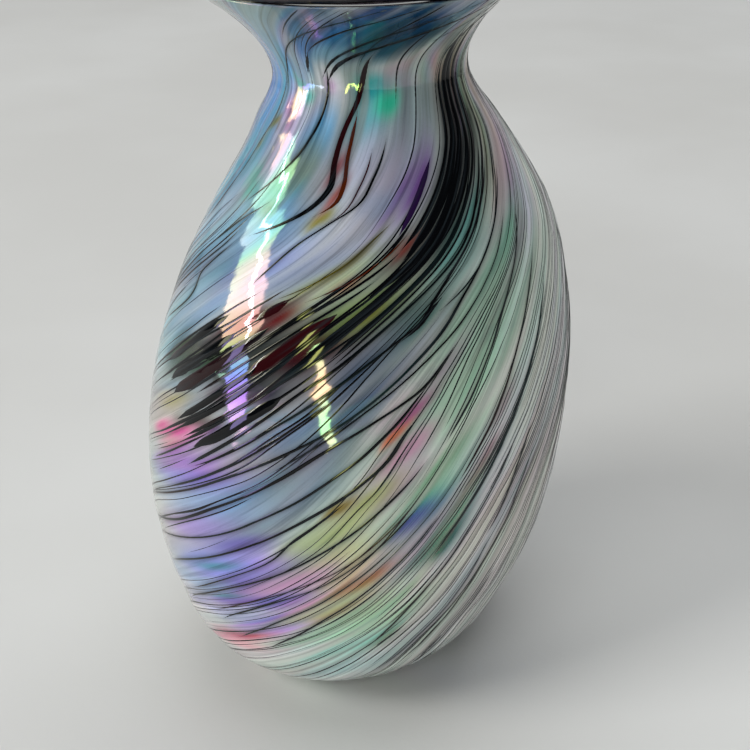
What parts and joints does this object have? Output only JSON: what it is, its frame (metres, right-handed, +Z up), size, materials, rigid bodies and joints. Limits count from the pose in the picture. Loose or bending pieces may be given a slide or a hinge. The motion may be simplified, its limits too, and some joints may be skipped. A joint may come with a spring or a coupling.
{
  "type": "art glass vase",
  "caption": "Leaning hand blown glass vase: opal casing over a dark lining, swirled dark trails, a narrow neck, a flared mouth with a dark lip wrap and a flat ground foot.",
  "frame": {"origin": "middle of the flat ground foot, on the surface that the vase stands on", "axes": "+Z up; the body leans towards +X; -Y is the side that the picture shows"},
  "size_m": [0.1238, 0.1194, 0.2039],
  "materials": {
    "opal_glass": "opaque opal glass with swirled dark threads and an iridised, glossy surface",
    "dark_glass": "glossy, near black",
    "trail_glass": "glossy dark glass with an iridised sheen",
    "ground_glass": "ground flat, fine matt"
  },
  "bodies": {
    "root": {"opal_casing": "opal_glass", "dark_lining": "dark_glass", "lip_wrap": "dark_glass", "pontil_stub": "ground_glass", "neck_trail_left": "trail_glass", "neck_trail_front": "trail_glass", "neck_trail_right": "trail_glass", "shoulder_trail_upper": "trail_glass", "shoulder_trail_middle": "trail_glass", "shoulder_trail_lower": "trail_glass", "back_trail_right": "trail_glass", "back_trail_left": "trail_glass"}
  },
  "joints": []
}
